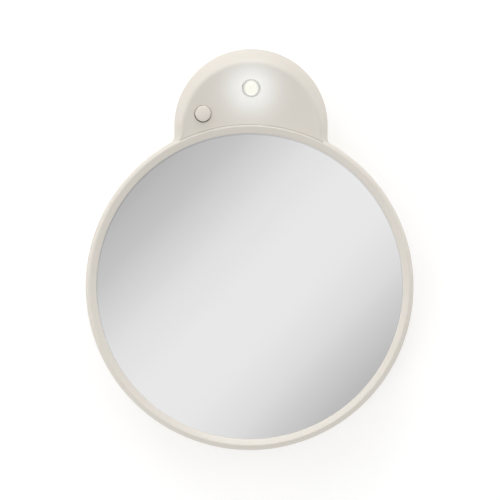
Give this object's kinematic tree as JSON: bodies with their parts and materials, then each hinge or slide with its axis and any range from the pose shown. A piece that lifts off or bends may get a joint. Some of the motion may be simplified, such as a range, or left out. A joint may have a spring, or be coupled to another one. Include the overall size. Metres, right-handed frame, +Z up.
{
  "type": "lighted makeup mirror",
  "caption": "Round magnifying wall mirror in a cream case, with a lamp dome and push button on top, a screwed battery door behind and suction cups that hold it to a wall.",
  "frame": {"origin": "on the wall plane, straight behind the centre of the round mirror", "axes": "+Z up the mirror towards the lamp dome, +X to the right as the user sees it, +Y into the wall; the mirror faces -Y"},
  "size_m": [0.1142, 0.0286, 0.14],
  "materials": {
    "case": "satin cream",
    "glass": "silvered",
    "foam": "foam",
    "steel": "nickel plated",
    "strip": "nickel plated spring strip",
    "board": "solder mask",
    "black_plastic": "satin",
    "lens": "clear epoxy, lit",
    "cup": "clear vinyl"
  },
  "bodies": {
    "case": {"front_frame": "case", "mirror_glass": "glass", "foam_ring": "foam", "back_cover": "case", "coin_cell_1": "steel", "coin_cell_2": "steel", "contact_negative": "strip", "contact_link": "strip", "contact_positive": "strip", "circuit_board": "board", "resistor": "black_plastic", "led_lens": "lens", "led_lead_1": "steel", "led_lead_2": "steel", "switch_body": "black_plastic", "switch_cover": "steel", "switch_spring": "steel", "switch_pin_1": "steel", "switch_pin_2": "steel", "case_screw_1": "steel", "case_screw_2": "steel", "case_screw_3": "steel", "suction_cup_1": "cup", "suction_cup_2": "cup", "suction_cup_3": "cup"},
    "button": {"button_cap": "case", "switch_plunger": "black_plastic"},
    "door": {"battery_door": "case"},
    "door_screw": {"battery_door_screw": "steel"}
  },
  "joints": [
    {"name": "button_press", "type": "slide", "parent": "case", "child": "button", "axis": [0, 1, 0], "range_m": [0, 0.0008], "stiffness_N_per_m": 1200, "springref_m": -0.0003, "deforming": ["switch_spring"]},
    {"name": "battery_door_lift", "type": "slide", "parent": "case", "child": "door", "axis": [0, 1, 0], "range_m": [0, 0.03]},
    {"name": "door_screw_turn", "type": "hinge", "parent": "door", "child": "door_screw", "pos_m": [0, -0.0094, 0.0482], "axis": [0, 1, 0], "range_deg": [0, 1080]}
  ]
}
